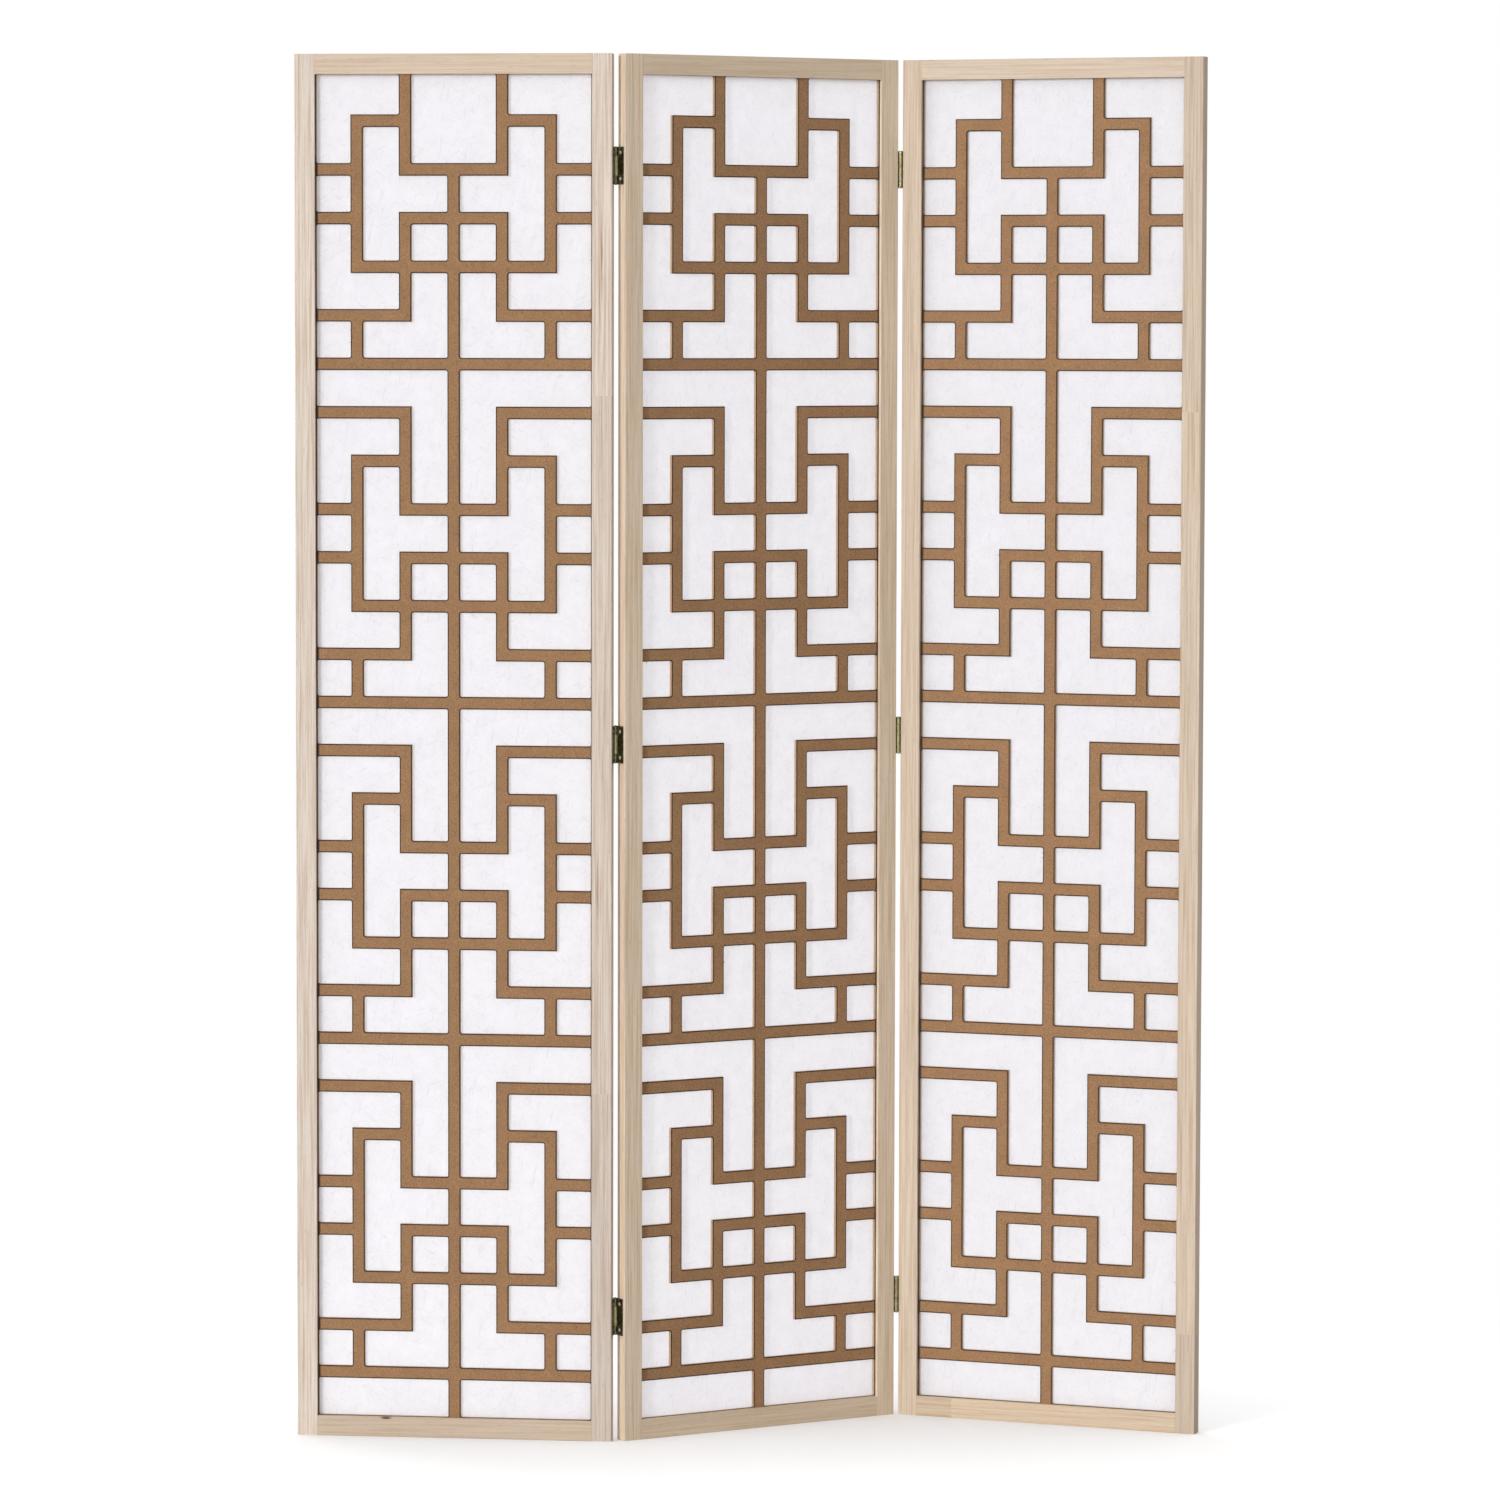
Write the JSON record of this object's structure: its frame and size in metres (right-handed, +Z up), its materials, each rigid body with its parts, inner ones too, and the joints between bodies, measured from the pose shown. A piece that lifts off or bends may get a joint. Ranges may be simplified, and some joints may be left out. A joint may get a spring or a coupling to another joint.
{
  "type": "folding screen",
  "caption": "Zigzag folding room divider: timber-framed leaves with routed square fretwork over white paper, joined edge to edge by small brass butt hinges.",
  "frame": {"origin": "centre of the bounding box's bottom face, on the floor, with the screen standing in the pictured zigzag", "axes": "+Z up, the decorated fronts of the leaves face -Y, +X to the right as seen from the front"},
  "size_m": [1.1684, 0.2378, 1.78],
  "materials": {
    "pine": "pale unfinished softwood, fine grain along the length",
    "fibreboard": "matte brown fibreboard with routed edges",
    "rice_paper": "matte white fibrous paper",
    "antique_brass": "dark antique brass plate",
    "plated_screw": "bright zinc plate"
  },
  "bodies": {
    "centre_leaf": {"centre_leaf_bottom_rail": "pine", "centre_leaf_fretwork": "fibreboard", "centre_leaf_left_hinge_screws": "plated_screw", "centre_leaf_left_stile": "pine", "centre_leaf_paper": "rice_paper", "centre_leaf_right_hinge_screws": "plated_screw", "centre_leaf_right_stile": "pine", "centre_leaf_top_rail": "pine", "left_bottom_hinge_pin": "antique_brass", "left_bottom_hinge_right_plate": "antique_brass", "left_middle_hinge_pin": "antique_brass", "left_middle_hinge_right_plate": "antique_brass", "left_top_hinge_pin": "antique_brass", "left_top_hinge_right_plate": "antique_brass", "right_bottom_hinge_left_plate": "antique_brass", "right_middle_hinge_left_plate": "antique_brass", "right_top_hinge_left_plate": "antique_brass"},
    "left_leaf": {"left_bottom_hinge_left_plate": "antique_brass", "left_leaf_bottom_rail": "pine", "left_leaf_fretwork": "fibreboard", "left_leaf_left_stile": "pine", "left_leaf_paper": "rice_paper", "left_leaf_right_hinge_screws": "plated_screw", "left_leaf_right_stile": "pine", "left_leaf_top_rail": "pine", "left_middle_hinge_left_plate": "antique_brass", "left_top_hinge_left_plate": "antique_brass"},
    "right_leaf": {"right_bottom_hinge_pin": "antique_brass", "right_bottom_hinge_right_plate": "antique_brass", "right_leaf_bottom_rail": "pine", "right_leaf_fretwork": "fibreboard", "right_leaf_left_hinge_screws": "plated_screw", "right_leaf_left_stile": "pine", "right_leaf_paper": "rice_paper", "right_leaf_right_stile": "pine", "right_leaf_top_rail": "pine", "right_middle_hinge_pin": "antique_brass", "right_middle_hinge_right_plate": "antique_brass", "right_top_hinge_pin": "antique_brass", "right_top_hinge_right_plate": "antique_brass"}
  },
  "joints": [
    {"name": "left_fold", "type": "hinge", "parent": "centre_leaf", "child": "left_leaf", "pos_m": [-0.17237, -0.09823, 0.89], "axis": [0, 0, -1], "range_deg": [-37.6, 142.4]},
    {"name": "right_fold", "type": "hinge", "parent": "centre_leaf", "child": "right_leaf", "pos_m": [0.19173, 0.09999, 0.89], "axis": [0, 0, -1], "range_deg": [-52.6, 127.4]}
  ]
}
